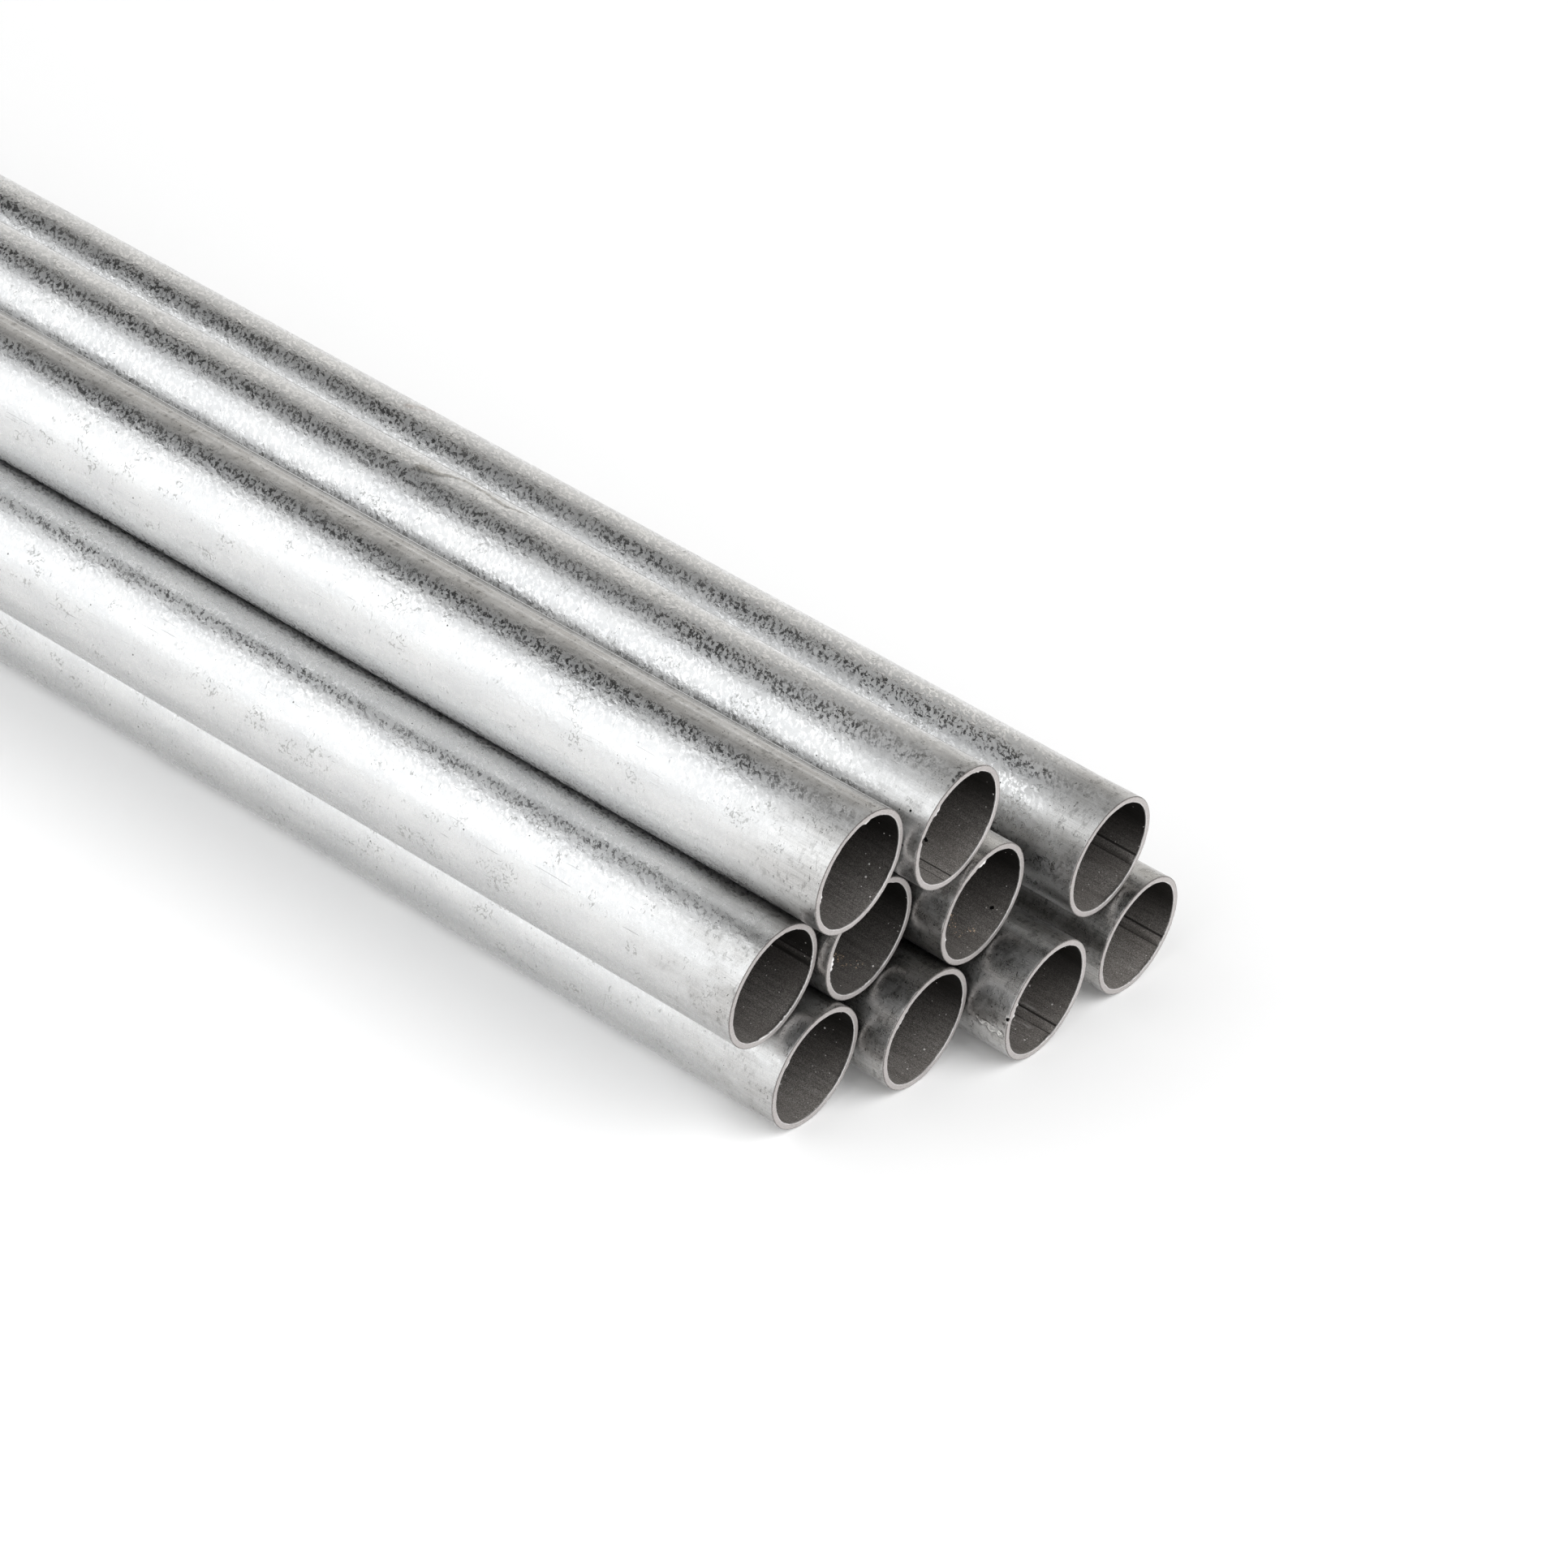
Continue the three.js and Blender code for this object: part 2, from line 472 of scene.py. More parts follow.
def tube_mesh(tube, materials, seed):
    """The dressed tube as one closed mesh."""
    rings = build_rings(tube, np.random.default_rng(seed))
    count = len(rings)
    x = np.array([ring[0] for ring in rings])
    radius = np.array([ring[1] for ring in rings])
    parts = [ring[2] for ring in rings]
    points = np.stack(
        [x, tube.y + radius * np.cos(TURN), tube.z + radius * np.sin(TURN)], axis=-1
    )
    here = np.arange(count * AROUND).reshape(count, AROUND)
    beside = np.roll(here, -1, axis=1)
    following = np.roll(here, -1, axis=0)
    corner = np.roll(beside, -1, axis=0)
    quads = np.stack([here, beside, corner, following], axis=-1).reshape(-1, 4)
    # A face between the cut and another part belongs to the cut.
    pairs = zip(parts, parts[1:] + parts[:1])
    face_parts = np.repeat([SAWN if SAWN in pair else pair[0] for pair in pairs], AROUND)
    mesh = bpy.data.meshes.new(tube.name + "_dressed")
    mesh.vertices.add(count * AROUND)
    mesh.vertices.foreach_set("co", points.astype(np.float32).ravel())
    mesh.loops.add(quads.size)
    mesh.loops.foreach_set("vertex_index", quads.astype(np.int32).ravel())
    mesh.polygons.add(len(quads))
    mesh.polygons.foreach_set("loop_start", np.arange(0, quads.size, 4, dtype=np.int32))
    mesh.polygons.foreach_set("material_index", face_parts.astype(np.int32))
    mesh.polygons.foreach_set("use_smooth", np.ones(len(quads), dtype=bool))
    mesh.update(calc_edges=True)
    store_all(mesh, tube, x, radius, parts)
    for material in materials:
        mesh.materials.append(material)
    return mesh


# --- Node helpers ------------------------------------------------------------------------

# The numbers of a mix node's colour sockets.
MIX_FIRST, MIX_SECOND, MIX_RESULT = 6, 7, 2


def add(tree, kind, inputs=None, **settings):
    """Adds a node. inputs maps a socket's name or number to a value or another's output."""
    node = tree.nodes.new(kind)
    for key, value in settings.items():
        setattr(node, key, value)
    for key, value in (inputs or {}).items():
        if isinstance(value, bpy.types.NodeSocket):
            tree.links.new(value, node.inputs[key])
        else:
            node.inputs[key].default_value = value
    return node


class Surface:
    """A material with a Principled shader and short ways to build its pattern.

    Patterns are functions of place in millimetres, so a scale is in features a millimetre.
    """

    def __init__(self, name, metallic):
        self.material = bpy.data.materials.new(name)
        self.material.use_nodes = True
        self.tree = self.material.node_tree
        self.shader = self.tree.nodes["Principled BSDF"]
        self.shader.inputs["Metallic"].default_value = metallic
        metres = add(self.tree, "ShaderNodeTexCoord").outputs["Object"]
        self.place = self.vector("SCALE", metres, Scale=1 / MM)

    def vector(self, operation, first, second=None, **named):
        """Vector arithmetic. named sets sockets that have a name, such as Scale."""
        inputs = {0: first, **named}
        if second is not None:
            inputs[1] = second
        return add(self.tree, "ShaderNodeVectorMath", inputs, operation=operation).outputs[0]

    def math(self, operation, first, second=0.0, third=0.0):
        """Arithmetic on numbers."""
        inputs = {0: first, 1: second, 2: third}
        return add(self.tree, "ShaderNodeMath", inputs, operation=operation).outputs[0]

    def attribute(self, name):
        """A value kept for each point of the mesh."""
        return add(self.tree, "ShaderNodeAttribute", attribute_name=name).outputs["Fac"]

    def leaning(self, slope):
        """The place, sheared so that a pattern stretched over Y leans along X by slope."""
        split = add(self.tree, "ShaderNodeSeparateXYZ", {0: self.place})
        along = self.math("MULTIPLY_ADD", split.outputs[1], slope, split.outputs[0])
        joined = {0: along, 1: split.outputs[1], 2: split.outputs[2]}
        return add(self.tree, "ShaderNodeCombineXYZ", joined).outputs[0]

    def noise(self, scale, detail=2.0, roughness=0.5, place=None, output="Fac"):
        """A cloudy pattern. scale is in features a millimetre along X, Y and Z."""
        place = self.vector("MULTIPLY", place or self.place, scale)
        inputs = {"Vector": place, "Scale": 1.0, "Detail": detail, "Roughness": roughness}
        return add(self.tree, "ShaderNodeTexNoise", inputs).outputs[output]

    def step(self, value, low, high, to_low=0.0, to_high=1.0):
        """A smooth step from to_low to to_high as value goes from low to high."""
        inputs = {
            "Value": value, "From Min": low, "From Max": high, "To Min": to_low, "To Max": to_high,
        }
        ranged = add(self.tree, "ShaderNodeMapRange", inputs, interpolation_type="SMOOTHSTEP")
        return ranged.outputs[0]

    def both(self, *masks):
        """Where all masks are set."""
        total = masks[0]
        for mask in masks[1:]:
            total = self.math("MULTIPLY", total, mask)
        return total

    def either(self, *masks):
        """Where any of the masks is set."""
        total = masks[0]
        for mask in masks[1:]:
            total = self.math("MAXIMUM", total, mask)
        return total

    def blend(self, factor, first, second):
        """From first to second, which are colours or patterns, by factor."""
        inputs = {"Factor": factor, MIX_FIRST: first, MIX_SECOND: second}
        return add(self.tree, "ShaderNodeMix", inputs, data_type="RGBA").outputs[MIX_RESULT]

    def tint(self, colour, mask, strength, other):
        """The colour with another laid over it at a strength where the mask is set."""
        return self.blend(self.math("MULTIPLY", mask, strength), colour, other)

    def dots(self, spacing, size, share):
        """Round dots in a share of the cells of a loose grid, sizes and spacing in mm."""
        place = self.vector("MULTIPLY", self.place, (1 / spacing,) * 3)
        cells = add(self.tree, "ShaderNodeTexVoronoi", {"Vector": place, "Scale": 1.0}).outputs
        chosen = add(self.tree, "ShaderNodeSeparateColor", {0: cells["Color"]}).outputs[0]
        radius = size / 2 / spacing
        spot = self.step(cells["Distance"], radius * 0.7, radius, 1.0, 0.0)
        return self.both(spot, self.math("LESS_THAN", chosen, share))

    def near(self, places, radius, softness=0.35):
        """1 within a radius in mm of any of the places, falling off over its outer part."""
        spots = []
        for place in places:
            gap = add(self.tree, "ShaderNodeVectorMath", {0: self.place, 1: place},
                      operation="DISTANCE").outputs["Value"]
            spots.append(self.step(gap, radius * (1 - softness), radius, 1.0, 0.0))
        return self.either(*spots)

    def facing_up(self):
        """How far the surface faces up, -1 to 1."""
        normal = add(self.tree, "ShaderNodeNewGeometry").outputs["Normal"]
        return add(self.tree, "ShaderNodeSeparateXYZ", {0: normal}).outputs[2]

    def bump(self, height, depth):
        """The normal as if the surface rose by depth, in millimetres, where height is 1."""
        inputs = {"Strength": 1.0, "Distance": depth * MM, "Height": height}
        return add(self.tree, "ShaderNodeBump", inputs).outputs[0]

    def finish(self, colour, roughness, normal):
        """Gives the patterns to the shader, and the finished material back."""
        self.tree.links.new(colour, self.shader.inputs["Base Color"])
        self.tree.links.new(roughness, self.shader.inputs["Roughness"])
        self.tree.links.new(normal, self.shader.inputs["Normal"])
        return self.material


# --- Materials ---------------------------------------------------------------------------

# How far the zinc's grain leans along the tube.
GRAIN_LEAN = 0.45

# Single marks by tube: mm from the near end, degrees from +Y.
BLACK_DOTS = {"tube_top_1": [(-157, 84)], "tube_top_2": [(-5.5, 149.5)]}
DARK_SPOTS = {"tube_top_1": [(-24, 139), (-12, 126)], "tube_top_2": [(-31, 128)]}
BURNT_PATCHES = {"tube_top_2": [(-0.7, 108), (-0.7, 103.5), (-1.0, 99)]}
RIM_HOLES = {"tube_bottom_3": [(-0.6, 174)]}
BORE_HOLES = {
    "tube_middle_3": [(-4.45, -36.6), (-4.2, -35.7)],
    "tube_top_2": [(-12.3, -60.6), (-11.8, -61.7), (-0.1, 168.5)],
}
RUST_FLECKS = {
    "tube_middle_2": [(-11.4, -70), (-10.0, -69), (-8.5, -70.5), (-6.6, -66), (-5.4, -65)],
    "tube_middle_3": [(-11.6, -62), (-9.6, -70), (-7.2, -76), (-5.4, -66)],
}
SCUFFS = {"tube_bottom_3": [(-9.0, -61), (-7.5, -78)]}
BROWN_SMUDGE = {"tube_leaning": [(-224.6, 82), (-222.5, 73), (-220.5, 64)]}

# Painted shade: the black in holes and black dots.
HOLE_SHADE_BLACK = (0.003, 0.003, 0.003, 1)

# Zinc: bright where it is fresh, from a darker to a lighter tone, and the same where it is worn.
FRESH_ZINC = ((0.755, 0.757, 0.76, 1), (0.85, 0.848, 0.842, 1))
WORN_ZINC = ((0.45, 0.438, 0.422, 1), (0.61, 0.596, 0.578, 1))
GRIT_GREY = (0.20, 0.195, 0.185, 1)
CURL_GREY = (0.36, 0.36, 0.35, 1)
STROKE_GREY = (0.22, 0.22, 0.22, 1)
BLOTCH_GREY = (0.12, 0.115, 0.108, 1)
NICK_GREY = (0.07, 0.066, 0.062, 1)
# Painted shade where the tubes come close and along the painted shade lines.
PAINTED_SHADE_BROWN = (0.060, 0.056, 0.052, 1)
RUN_DULL = (0.52, 0.51, 0.49, 1)
RUN_BRIGHT = (0.92, 0.91, 0.89, 1)
RUN_EDGE = (0.13, 0.125, 0.118, 1)
SMUDGE_BROWN = (0.42, 0.34, 0.30, 1)
PIT_BLACK = (0.045, 0.042, 0.04, 1)

# The sawn cut, from its darker to its lighter lines, and what lies on it.
SAWN_STEEL = ((0.47, 0.437, 0.425, 1), (0.60, 0.570, 0.558, 1))
SAWN_SPOT = (0.25, 0.225, 0.21, 1)
SAWN_RIM = (0.10, 0.09, 0.085, 1)
# Painted highlights on the burr, along the bore's edge and brighter where it is torn.
BURR_EDGE_HIGHLIGHT = (0.80, 0.78, 0.77, 1)
TORN_BURR_HIGHLIGHT = (0.98, 0.965, 0.955, 1)
# Painted shade in the holes of the cut.
SAWN_HOLE_SHADE = (0.012, 0.010, 0.009, 1)
TORN_ROUGHNESS = (0.7, 0.7, 0.7, 1)

# Bare steel: its deep and its pale grain, each from painted shade where it faces down to painted
# light where it faces up.
BARE_DEEP_SHADED_TO_LIT = ((0.012, 0.011, 0.010, 1), (0.125, 0.116, 0.108, 1))
BARE_PALE_SHADED_TO_LIT = ((0.036, 0.033, 0.030, 1), (0.60, 0.565, 0.533, 1))
DRAWN_LINE = (0.060, 0.053, 0.048, 1)
STAIN_BROWN = (0.115, 0.098, 0.085, 1)
RUST_ORANGE = (0.98, 0.72, 0.48, 1)
SCUFF_GREY = (0.42, 0.40, 0.385, 1)
SPECK_PALE = (0.84, 0.81, 0.79, 1)
SEAM_BLACK = (0.018, 0.016, 0.015, 1)


def on_tubes(marks, in_bore=False):
    """The marks' places in millimetres, on the outside or in the bore."""
    places = []
    for tube in tubes:
        radius = tube.bore if in_bore else tube.outside
        for x, degrees in marks.get(tube.name, []):
            angle = math.radians(degrees)
            across = tube.y + radius * math.cos(angle)
            above = tube.z + radius * math.sin(angle)
            places.append(((tube.near + x * MM) / MM, across / MM, above / MM))
    return places


def zinc_colour(zinc, dull, leaning, fine, brushed):
    """The zinc's colour, from its tone to the single marks on it."""
    # Fresh zinc, and where it is dull, worn zinc with drawn lines and grit.
    broad = zinc.noise((0.06, 0.2, 0.2), 4, 0.6)
    tone = zinc.math("MULTIPLY_ADD", broad, 0.6, zinc.math("MULTIPLY", fine, 0.4))
    fresh = zinc.blend(zinc.step(tone, 0.35, 0.65), *FRESH_ZINC)
    drawn = zinc.step(zinc.noise((0.022, 2.6, 2.6), 3, 0.65), 0.34, 0.66)
    worn = zinc.blend(zinc.step(zinc.blend(0.45, brushed, drawn), 0.35, 0.65), *WORN_ZINC)
    colour = zinc.blend(zinc.step(dull, 0.0, 1.0), fresh, worn)
    speckle = zinc.step(zinc.noise((5.5, 5.0, 5.0), 2, 0.7), 0.42, 0.62, 0.0, 0.30)
    grit = zinc.both(speckle, zinc.step(dull, 0.0, 0.8, 0.15, 1.0))
    colour = zinc.blend(grit, colour, GRIT_GREY)
    colour = zinc.vector("SCALE", colour, Scale=zinc.attribute("shade"))

    # Curled marks, broken up and in clusters.
    curl = zinc.math("SUBTRACT", zinc.noise((0.72, 0.62, 0.62), 1.5, 0.5), 0.53)
    curl = zinc.step(zinc.math("ABSOLUTE", curl), 0.026, 0.055, 1.0, 0.0)
    clusters = zinc.step(zinc.noise((0.11, 0.15, 0.15), 3, 0.6), 0.56, 0.64)
    broken = zinc.step(zinc.noise((1.3, 1.3, 1.3), 1, 0.5), 0.42, 0.52)
    colour = zinc.tint(colour, zinc.both(curl, clusters, broken), 0.75, CURL_GREY)

    # Leaning strokes and drawn hairs, and blotches and nicks where the zinc is dull.
    strokes = zinc.step(zinc.noise((1.7, 0.5, 0.5), 2, 0.5, place=leaning), 0.685, 0.74)
    hairs = zinc.step(zinc.noise((0.10, 2.6, 2.6), 2, 0.5), 0.715, 0.75)
    colour = zinc.tint(colour, zinc.either(strokes, hairs), 0.45, STROKE_GREY)
    blotches = zinc.step(zinc.noise((0.62, 0.34, 0.34), 5, 0.66), 0.53, 0.64)
    blotches = zinc.both(blotches, zinc.step(dull, 0.15, 0.75))
    colour = zinc.tint(colour, blotches, 0.52, BLOTCH_GREY)
    nicks = zinc.step(zinc.noise((1.5, 0.75, 0.75), 2, 0.6, place=leaning), 0.64, 0.70)
    nicks = zinc.both(nicks, zinc.step(dull, 0.25, 0.60))
    colour = zinc.tint(colour, nicks, 0.75, NICK_GREY)

    # Painted shade where the tubes come close and along the painted shade lines, broken up by a
    # mottle.
    shade_mottle = zinc.step(zinc.noise((0.55, 0.40, 0.40), 4, 0.62), 0.36, 0.58, 0.45, 1.0)
    shade_mask = zinc.step(zinc.attribute("painted_shade"), 0.15, 0.85)
    shade_mask = zinc.both(shade_mask, zinc.step(dull, 0.15, 0.6), shade_mottle)
    colour = zinc.tint(colour, shade_mask, 0.80, PAINTED_SHADE_BROWN)

    # The raised runs, with a dark edge.
    run = zinc.attribute("run")
    flaked = zinc.step(zinc.noise((0.9, 0.8, 0.8), 3, 0.7), 0.43, 0.56, 0.1, 1.0)
    edge = zinc.both(zinc.step(run, 0.03, 0.25), zinc.step(dull, 0.0, 0.4, 0.38, 0.80), flaked)
    colour = zinc.blend(edge, colour, RUN_EDGE)
    raised = zinc.blend(zinc.both(dull, flaked), RUN_DULL, RUN_BRIGHT)
    unflaked = zinc.blend(dull, WHITE, zinc.step(flaked, 0.2, 0.9))
    colour = zinc.blend(zinc.both(zinc.step(run, 0.40, 0.75), unflaked), colour, raised)

    # Single marks, and scattered pits.
    smudge = zinc.near(on_tubes(BROWN_SMUDGE), 2.4, 0.9)
    smudge = zinc.both(smudge, zinc.step(fine, 0.3, 0.7, 0.3, 0.6))
    colour = zinc.blend(smudge, colour, SMUDGE_BROWN)
    charred = zinc.step(zinc.noise((1.1, 1.0, 1.0), 3, 0.7), 0.36, 0.50)
    burnt = zinc.both(zinc.near(on_tubes(BURNT_PATCHES), 1.2, 0.5), charred)
    spots = zinc.near(on_tubes(DARK_SPOTS), 0.32, 0.8)
    pits = zinc.either(zinc.dots(3.1, 0.50, 0.22), zinc.dots(1.7, 0.30, 0.10), spots, burnt)
    colour = zinc.tint(colour, pits, 0.88, PIT_BLACK)
    # The holes and the black dots are painted black, as the shade in them.
    hole_shade = zinc.either(zinc.near(on_tubes(BLACK_DOTS), 0.36), zinc.near(on_tubes(RIM_HOLES), 0.62))
    return zinc.blend(hole_shade, colour, HOLE_SHADE_BLACK)


def zinc_material():
    """Zinc laid on in line: leaning grains, curled marks, pits, and dull skin by the ends."""
    zinc = Surface("zinc", 1.0)
    wander = zinc.noise((0.5, 0.5, 0.5), 2, 0.5, output="Color")
    leaning = zinc.vector("ADD", zinc.leaning(GRAIN_LEAN), zinc.vector("SCALE", wander, Scale=1.4))
    dull = zinc.attribute("dull")
    patchy = zinc.step(zinc.noise((0.10, 0.16, 0.16), 3, 0.6), 0.3, 0.7, -0.35, 0.35)
    dull = zinc.math("ADD", dull, zinc.both(dull, patchy))
    fine = zinc.noise((4.4, 4.2, 4.2), 1, 0.5)
    brushed = zinc.noise((7.0, 0.30, 0.30), 2, 0.6)

    # Smooth grains in a rougher skin, with hardly any where it is dull.
    grained = zinc.step(zinc.noise((0.045, 0.09, 0.09), 2, 0.5), 0.36, 0.62, 0.62, 1.0)
    grained = zinc.both(grained, zinc.step(dull, 0.05, 0.60, 1.0, 0.10))
    dense = zinc.step(zinc.noise((0.22, 0.35, 0.35), 3, 0.6, place=leaning), 0.36, 0.58, 0.75, 1.0)
    grains = zinc.step(zinc.noise((1.05, 0.72, 0.72), 3, 0.68, place=leaning), 0.485, 0.56)
    grains = zinc.both(grains, dense, zinc.step(dull, 0.42, 0.62, 1.0, 0.0), grained)

    # The relief in millimetres: lines rolled in, coarse and fine lumps, and brushing.
    relief = zinc.math("MULTIPLY", zinc.noise((0.012, 2.4, 2.4), 3, 0.6), 0.012)
    coarse = zinc.both(zinc.noise((0.85, 0.65, 0.65), 1.0, 0.5, place=leaning), grained)
    ripple = zinc.both(fine, zinc.step(dull, 0.2, 0.7, 1.0, 0.5))
    brushing = zinc.both(brushed, zinc.step(dull, 0.2, 0.8))
    for pattern, depth in ((coarse, 0.16), (grains, 0.005), (ripple, 0.026), (brushing, 0.012)):
        relief = zinc.math("MULTIPLY_ADD", pattern, depth, relief)

    smooth = zinc.math("MULTIPLY_ADD", grains, -0.80, 1.0)
    rough = zinc.both(zinc.step(fine, 0.30, 0.70, 0.36, 0.54), smooth)
    rough = zinc.both(rough, zinc.step(dull, 0.0, 0.8, 1.0, 0.72))
    matt = zinc.both(zinc.attribute("matt"), smooth)
    rough = zinc.math("MULTIPLY_ADD", matt, 0.30, rough)
    colour = zinc_colour(zinc, dull, leaning, fine, brushed)
    return zinc.finish(colour, rough, zinc.bump(relief, 1.0))


def sawn_material():
    """The cut wall: pale steel with parallel saw lines, a dark outer edge, and a burr with a
    painted highlight.
    """
    cut = Surface("sawn_steel", 0.6)
    # The saw's lines, and darker spots over them.
    grain = cut.noise((5.0, 5.2, 5.2), 2, 0.7)
    lines = cut.blend(0.5, cut.noise((0.2, 1.0, 4.6), 2, 0.6), grain)
    spots = cut.noise((2.0, 2.4, 2.4), 4, 0.75)
    colour = cut.blend(cut.step(lines, 0.3, 0.7), *SAWN_STEEL)
    colour = cut.blend(cut.step(spots, 0.55, 0.70, 0.0, 0.6), colour, SAWN_SPOT)

    # A dark outer edge that wanders, and a burr round the bore with a painted highlight, brightest
    # where it is torn.
    across = cut.attribute("across")
    wander = cut.step(spots, 0.3, 0.7, -0.10, 0.10)
    rim = cut.step(cut.math("ADD", across, wander), 0.06, 0.20, 1.0, 0.0)
    colour = cut.tint(colour, rim, 0.75, SAWN_RIM)
    burr = cut.step(across, 0.86, 0.97)
    colour = cut.tint(colour, burr, 0.8, BURR_EDGE_HIGHLIGHT)
    torn = cut.step(cut.attribute("burr"), 0.2, 0.8)
    colour = cut.blend(torn, colour, TORN_BURR_HIGHLIGHT)
    # Painted shade in the holes.
    hole_shade = cut.near(on_tubes(RIM_HOLES) + on_tubes(BORE_HOLES, in_bore=True), 0.75)
    colour = cut.tint(colour, hole_shade, 0.95, SAWN_HOLE_SHADE)

    normal = cut.bump(cut.math("MULTIPLY_ADD", lines, 0.7, spots), 0.05)
    rough = cut.blend(torn, cut.step(burr, 0.0, 1.0, 0.46, 0.26), TORN_ROUGHNESS)
    return cut.finish(colour, rough, normal)


def bare_material():
    """The bore: dark bare steel with a sandy grain, drawn lines, specks and a seam."""
    bare = Surface("bare_steel", 0.35)
    bare.shader.inputs["Specular IOR Level"].default_value = 0.15

    # A sandy grain with drawn lines, with painted shade where the bore faces down and painted light
    # where it faces up.
    grit = bare.noise((3.6, 4.2, 4.2), 3, 0.85)
    lines = bare.noise((0.09, 1.5, 1.5), 4, 0.6)
    broad = bare.noise((0.05, 0.16, 0.16), 3, 0.5)
    tone = bare.math("MULTIPLY_ADD", grit, 0.82, bare.math("MULTIPLY", lines, 0.18))
    lit = bare.step(bare.facing_up(), -0.35, 1.0)
    deep = bare.blend(lit, *BARE_DEEP_SHADED_TO_LIT)
    pale = bare.blend(lit, *BARE_PALE_SHADED_TO_LIT)
    colour = bare.blend(bare.step(tone, 0.38, 0.72), deep, pale)
    colour = bare.blend(bare.step(lines, 0.60, 0.74, 0.0, 0.22), colour, DRAWN_LINE)
    stained = bare.both(bare.step(broad, 0.40, 0.70, 0.0, 0.3), lit)
    colour = bare.blend(stained, colour, STAIN_BROWN)
    colour = bare.vector("SCALE", colour, Scale=bare.attribute("shade"))

    # Rust flecks and scuffs in their places, and specks all over.
    rust = bare.either(bare.dots(0.62, 0.44, 0.55), bare.dots(0.40, 0.26, 0.40))
    rust = bare.both(rust, bare.near(on_tubes(RUST_FLECKS, in_bore=True), 1.4, 0.5))
    colour = bare.blend(rust, colour, RUST_ORANGE)
    scuffs = bare.step(bare.noise((0.22, 1.6, 1.6), 1), 0.58, 0.66)
    scuffs = bare.both(scuffs, bare.near(on_tubes(SCUFFS, in_bore=True), 4.0, 0.6))
    colour = bare.blend(scuffs, colour, SCUFF_GREY)
    specks = bare.either(bare.dots(1.5, 0.32, 0.42), bare.dots(4.0, 0.62, 0.30))
    colour = bare.blend(specks, colour, SPECK_PALE)

    # A dark line along each foot of the weld bead, and a heavier one along the first.
    from_bead = bare.attribute("from_bead")
    foot = BEAD_HALF_WIDTH / MM
    feet = bare.math("SUBTRACT", bare.math("ABSOLUTE", from_bead), foot)
    feet = bare.step(bare.math("ABSOLUTE", feet), 0.04, 0.22, 0.7, 0.0)
    heavy = bare.math("SUBTRACT", from_bead, foot)
    heavy = bare.step(bare.math("ABSOLUTE", heavy), 0.12, 0.44, 1.0, 0.0)
    colour = bare.tint(colour, bare.either(feet, heavy), 0.92, SEAM_BLACK)
    # Painted shade in the holes.
    hole_shade = bare.near(on_tubes(BORE_HOLES, in_bore=True), 0.50, 0.3)
    colour = bare.blend(hole_shade, colour, HOLE_SHADE_BLACK)

    height = bare.math("MULTIPLY_ADD", grit, 0.6, lines)
    height = bare.math("ADD", height, bare.math("MULTIPLY", specks, 0.6))
    rough = bare.step(grit, 0.3, 0.7, 0.42, 0.60)
    return bare.finish(colour, rough, bare.bump(height, 0.05))


def dress_tubes():
    """Puts a dressed tube in the place of each CAD tube."""
    materials = [zinc_material(), sawn_material(), bare_material()]
    for seed, tube in enumerate(tubes):
        piece = bpy.data.objects.new("dressed_" + tube.name, tube_mesh(tube, materials, seed))
        bpy.context.scene.collection.objects.link(piece)
        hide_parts(tube.name)
        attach(piece, "root")


# --- Floor, light and camera -------------------------------------------------------------

# The floor's side and colour, and the light that is added to it where it is seen.
FLOOR_SIZE = 12.0
FLOOR_WHITE = (0.97, 0.97, 0.97, 1)
FLOOR_LIFT = 0.05

# Brightness of the studio around the tubes, by degrees from +Y over the top to -Y.
STUDIO = [
    (-180, 0.95), (0, 0.87), (28, 0.86), (38, 0.66), (47, 0.42), (52, 0.13), (57, 0.05),
    (72, 0.05), (84, 0.07), (90, 0.24), (97, 0.66), (105, 1.08), (115, 1.38), (165, 1.42),
    (180, 1.15),
]
# No level above is higher than this.
STUDIO_PEAK = 1.5
# The tints of the wall and the front, and the degrees at which the front begins.
WARM_WALL = (1.0, 0.985, 0.955)
COOL_FRONT = (0.975, 0.99, 1.0)
FRONT_FROM = 70
# The even level that matt surfaces get.
PLAIN_LEVEL = 0.32

# The lamps: place, what they face, side length, radiance.
SOFTBOXES = [
    ((4.2, 0.8, 4.75), (0.45, 0, 0.03), 6.0, 2.6),
    ((-0.8, -4.4, 3.8), (0.2, 0, 0.03), 5.0, 1.7),
]


def floor_material():
    """White card. It looks a little whiter to the camera and in the metal than it is."""
    material = bpy.data.materials.new("floor")
    material.use_nodes = True
    tree = material.node_tree
    shader = tree.nodes["Principled BSDF"]
    shader.inputs["Base Color"].default_value = FLOOR_WHITE
    shader.inputs["Roughness"].default_value = 0.9
    shader.inputs["Specular IOR Level"].default_value = 0.1
    glow = add(tree, "ShaderNodeEmission", {"Color": WHITE, "Strength": FLOOR_LIFT})
    path = add(tree, "ShaderNodeLightPath").outputs
    seen = add(tree, "ShaderNodeMath", {0: path["Is Camera Ray"], 1: path["Is Glossy Ray"]},
               operation="MAXIMUM").outputs[0]
    seen = add(tree, "ShaderNodeMath", {0: seen, 1: path["Is Transmission Ray"]},
               operation="MAXIMUM").outputs[0]
    lifted = add(tree, "ShaderNodeAddShader", {0: shader.outputs[0], 1: glow.outputs[0]})
    mix = add(tree, "ShaderNodeMixShader", {0: seen, 1: shader.outputs[0], 2: lifted.outputs[0]})
    tree.links.new(mix.outputs[0], tree.nodes["Material Output"].inputs["Surface"])
    return material


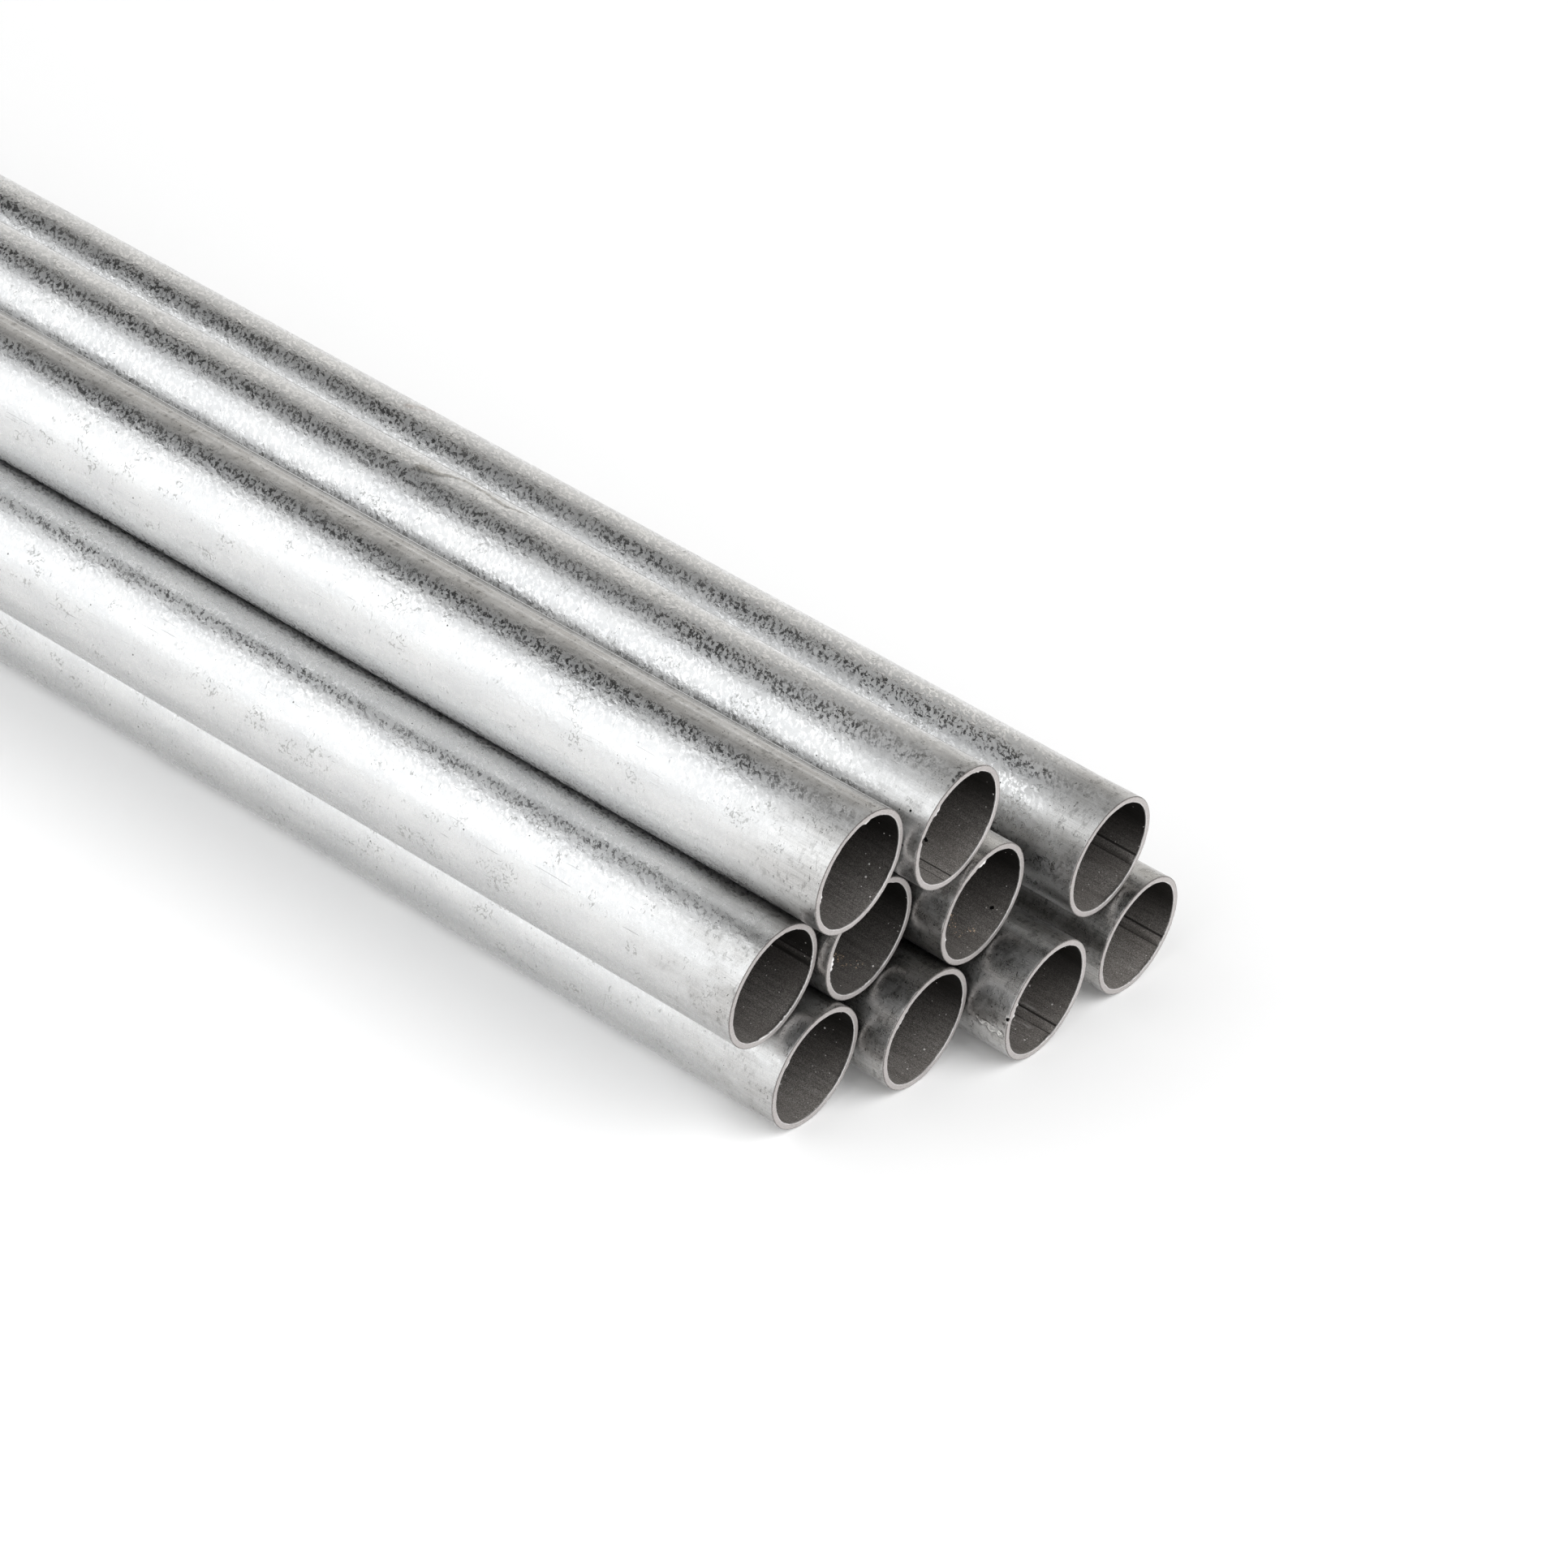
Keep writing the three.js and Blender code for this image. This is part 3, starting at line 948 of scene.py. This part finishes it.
def add_floor():
    """The square floor that the tubes lie on."""
    half = FLOOR_SIZE / 2
    corners = [(-half, -half, 0), (half, -half, 0), (half, half, 0), (-half, half, 0)]
    mesh = bpy.data.meshes.new("floor")
    mesh.from_pydata(corners, [], [(0, 1, 2, 3)])
    floor = bpy.data.objects.new("floor", mesh)
    bpy.context.scene.collection.objects.link(floor)
    mesh.materials.append(floor_material())


def add_studio():
    """A world that metal shows as pale walls, a dim ceiling strip and a bright front.

    It is the same all along X, and it lights matt surfaces as an even, plain level.
    """
    world = bpy.data.worlds.new("studio")
    bpy.context.scene.world = world
    world.use_nodes = True
    tree = world.node_tree
    tree.nodes.clear()
    direction = add(tree, "ShaderNodeTexCoord").outputs["Generated"]
    split = add(tree, "ShaderNodeSeparateXYZ", {0: direction})
    angle = add(tree, "ShaderNodeMath", {0: split.outputs["Z"], 1: split.outputs["Y"]},
                operation="ARCTAN2").outputs[0]
    turn = {"Value": angle, "From Min": -math.pi, "From Max": math.pi}
    place = add(tree, "ShaderNodeMapRange", turn)
    ramp = add(tree, "ShaderNodeValToRGB", {0: place.outputs[0]})
    stops = ramp.color_ramp.elements
    while len(stops) < len(STUDIO):
        stops.new(0.5)
    for stop, (degrees, level) in zip(stops, STUDIO):
        tint = COOL_FRONT if degrees > FRONT_FROM or degrees < 0 else WARM_WALL
        stop.position = (degrees + 180) / 360
        stop.color = tuple(level / STUDIO_PEAK * part for part in tint) + (1,)
    glow = add(tree, "ShaderNodeBackground", {"Color": ramp.outputs[0], "Strength": STUDIO_PEAK})
    backdrop = add(tree, "ShaderNodeBackground", {"Color": WHITE, "Strength": 1.0})
    plain = add(tree, "ShaderNodeBackground", {"Color": WHITE, "Strength": PLAIN_LEVEL})
    path = add(tree, "ShaderNodeLightPath").outputs
    lit = {0: path["Is Diffuse Ray"], 1: glow.outputs[0], 2: plain.outputs[0]}
    lit = add(tree, "ShaderNodeMixShader", lit)
    seen = {0: path["Is Camera Ray"], 1: lit.outputs[0], 2: backdrop.outputs[0]}
    seen = add(tree, "ShaderNodeMixShader", seen)
    add(tree, "ShaderNodeOutputWorld", {0: seen.outputs[0]})


def add_softbox(place, aim, size, radiance):
    """A large square lamp at place that faces aim, and that lights matt surfaces only."""
    lamp = bpy.data.lights.new("softbox", "AREA")
    lamp.size = size
    lamp.energy = radiance * math.pi * size * size
    holder = bpy.data.objects.new("softbox", lamp)
    bpy.context.scene.collection.objects.link(holder)
    holder.visible_glossy = False
    holder.location = place
    holder.rotation_mode = "QUATERNION"
    holder.rotation_quaternion = (Vector(aim) - Vector(place)).to_track_quat("-Z", "Y")


# The camera looks at a point above the first floor tube, close to its sawn end. Its lens and
# sensor are in millimetres, and it stands at an azimuth from +X.
LENS = 134.15
SENSOR = 36.0
AZIMUTH = math.radians(-58.3)
ELEVATION = math.radians(33.12)
ROLL = math.radians(10.78)
DISTANCE = 1.3159
AIM_BEHIND_END = 0.0230
AIM_HEIGHT = 0.0832


def add_camera():
    """The camera, aimed at the near ends from above on the right, and rolled a little."""
    first = next(tube for tube in tubes if tube.name == "tube_bottom_1")
    aim = Vector((first.near - AIM_BEHIND_END, first.y, AIM_HEIGHT))
    level_part = math.cos(ELEVATION)
    back = Vector((
        level_part * math.cos(AZIMUTH), level_part * math.sin(AZIMUTH), math.sin(ELEVATION),
    ))
    level = Vector((0, 0, 1)).cross(back).normalized()
    upright = back.cross(level)
    right = math.cos(ROLL) * level + math.sin(ROLL) * upright
    up = back.cross(right)
    lens = bpy.data.cameras.new("camera")
    lens.lens = LENS
    lens.sensor_width = SENSOR
    camera = bpy.data.objects.new("camera", lens)
    bpy.context.scene.collection.objects.link(camera)
    turn = Matrix((right, up, back)).transposed().to_4x4()
    camera.matrix_world = Matrix.Translation(aim + back * DISTANCE) @ turn
    bpy.context.scene.camera = camera


add_camera()
dress_tubes()
add_floor()
add_studio()
for softbox in SOFTBOXES:
    add_softbox(*softbox)
bpy.context.scene.view_settings.view_transform = "Standard"
